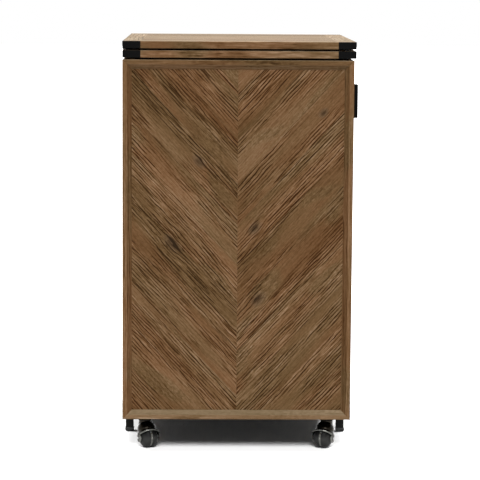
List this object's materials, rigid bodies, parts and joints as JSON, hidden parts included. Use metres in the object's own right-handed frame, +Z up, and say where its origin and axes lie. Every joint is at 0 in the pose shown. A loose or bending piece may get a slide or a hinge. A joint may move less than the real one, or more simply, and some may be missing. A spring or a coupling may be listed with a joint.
{
  "type": "bar cabinet",
  "caption": "Tall oak bar cabinet with chevron panels, a deep bottle door that swings out on castors, steel legs and a fold-over worktop.",
  "frame": {"origin": "on the floor below the middle of the whole cabinet's box, which runs from the hinge knuckles at the left to the handle at the right", "axes": "+Z up, -Y towards the chevron front of the door, +X towards the handle side"},
  "size_m": [0.6327, 0.66, 1.079],
  "materials": {
    "weathered_oak": "brushed, open-grained chevron veneer and mitred mouldings, dull wax",
    "worktop_oak": "brushed boards, dull wax",
    "inside_oak": "plain veneered board, matt lacquer",
    "black_steel": "matt black powder coat",
    "bare_steel": "zinc plated",
    "gunmetal": "dark antique metal, semi-gloss",
    "wheel_plastic": "dark grey nylon, satin",
    "glide_plastic": "black moulded plastic",
    "pad_rubber": "black rubber"
  },
  "bodies": {
    "cabinet": {"cabinet_side_left": "weathered_oak", "cabinet_side_right": "weathered_oak", "cabinet_top_board": "inside_oak", "cabinet_bottom_board": "inside_oak", "cabinet_back_board": "weathered_oak", "cabinet_shelves": "inside_oak", "left_side_frame": "weathered_oak", "right_side_frame": "weathered_oak", "back_frame": "weathered_oak", "stemware_rails": "inside_oak", "front_left_leg": "black_steel", "front_right_leg": "black_steel", "rear_left_leg": "black_steel", "rear_right_leg": "black_steel", "leg_glides": "glide_plastic", "catch_magnets": "bare_steel", "cabinet_hinge_leaves": "black_steel", "door_hinge_pins": "bare_steel", "worktop_spacers": "inside_oak", "lower_leaf_panel": "worktop_oak", "lower_leaf_border": "worktop_oak", "lower_leaf_straps": "black_steel", "lower_strap_screws": "black_steel", "lower_leaf_hinge_plates": "black_steel", "leaf_hinge_pins": "bare_steel", "leaf_bumpers": "pad_rubber"},
    "door": {"door_panel": "weathered_oak", "door_frame_top": "weathered_oak", "door_frame_bottom": "weathered_oak", "door_frame_left": "weathered_oak", "door_frame_right": "weathered_oak", "door_left_side_frame": "weathered_oak", "door_right_side_frame": "weathered_oak", "door_side_left": "weathered_oak", "door_side_right": "weathered_oak", "door_top_board": "inside_oak", "door_bottom_board": "inside_oak", "door_shelves": "inside_oak", "bottle_rails": "black_steel", "door_handle": "black_steel", "handle_screws": "bare_steel", "catch_strikes": "bare_steel", "leaf_support_pads": "pad_rubber", "door_hinge_leaves": "black_steel", "castor_plates": "black_steel", "castor_kingpins": "bare_steel", "castor_screws": "bare_steel"},
    "upper_leaf": {"upper_leaf_panel": "worktop_oak", "upper_leaf_border": "worktop_oak", "upper_leaf_straps": "black_steel", "upper_strap_screws": "black_steel", "upper_leaf_hinge_plates": "black_steel"},
    "left_castor": {"left_castor_hood": "gunmetal", "left_castor_axle": "bare_steel"},
    "right_castor": {"right_castor_hood": "gunmetal", "right_castor_axle": "bare_steel"},
    "left_castor_front_wheel_body": {"left_castor_front_wheel": "wheel_plastic"},
    "left_castor_rear_wheel_body": {"left_castor_rear_wheel": "wheel_plastic"},
    "right_castor_front_wheel_body": {"right_castor_front_wheel": "wheel_plastic"},
    "right_castor_rear_wheel_body": {"right_castor_rear_wheel": "wheel_plastic"}
  },
  "joints": [
    {"name": "door_swing", "type": "hinge", "parent": "cabinet", "child": "door", "pos_m": [-0.31315, -0.0945, 0.5585], "axis": [0, 0, -1], "range_deg": [0, 180]},
    {"name": "leaf_fold", "type": "hinge", "parent": "cabinet", "child": "upper_leaf", "pos_m": [-0.31065, 0, 1.0575], "axis": [0, -1, 0], "range_deg": [0, 180]},
    {"name": "left_castor_swivel", "type": "hinge", "parent": "door", "child": "left_castor", "pos_m": [-0.25265, -0.258, 0.064], "axis": [0, 0, 1], "continuous": true},
    {"name": "left_front_wheel_roll", "type": "hinge", "parent": "left_castor", "child": "left_castor_front_wheel_body", "pos_m": [-0.24301, -0.27777, 0.027], "axis": [-0.8988, -0.4384, 0], "continuous": true},
    {"name": "left_rear_wheel_roll", "type": "hinge", "parent": "left_castor", "child": "left_castor_rear_wheel_body", "pos_m": [-0.24301, -0.27777, 0.027], "axis": [-0.8988, -0.4384, 0], "continuous": true},
    {"name": "right_castor_swivel", "type": "hinge", "parent": "door", "child": "right_castor", "pos_m": [0.23335, -0.258, 0.064], "axis": [0, 0, 1], "continuous": true},
    {"name": "right_front_wheel_roll", "type": "hinge", "parent": "right_castor", "child": "right_castor_front_wheel_body", "pos_m": [0.22371, -0.27777, 0.027], "axis": [-0.8988, 0.4384, 0], "continuous": true},
    {"name": "right_rear_wheel_roll", "type": "hinge", "parent": "right_castor", "child": "right_castor_rear_wheel_body", "pos_m": [0.22371, -0.27777, 0.027], "axis": [-0.8988, 0.4384, 0], "continuous": true}
  ]
}
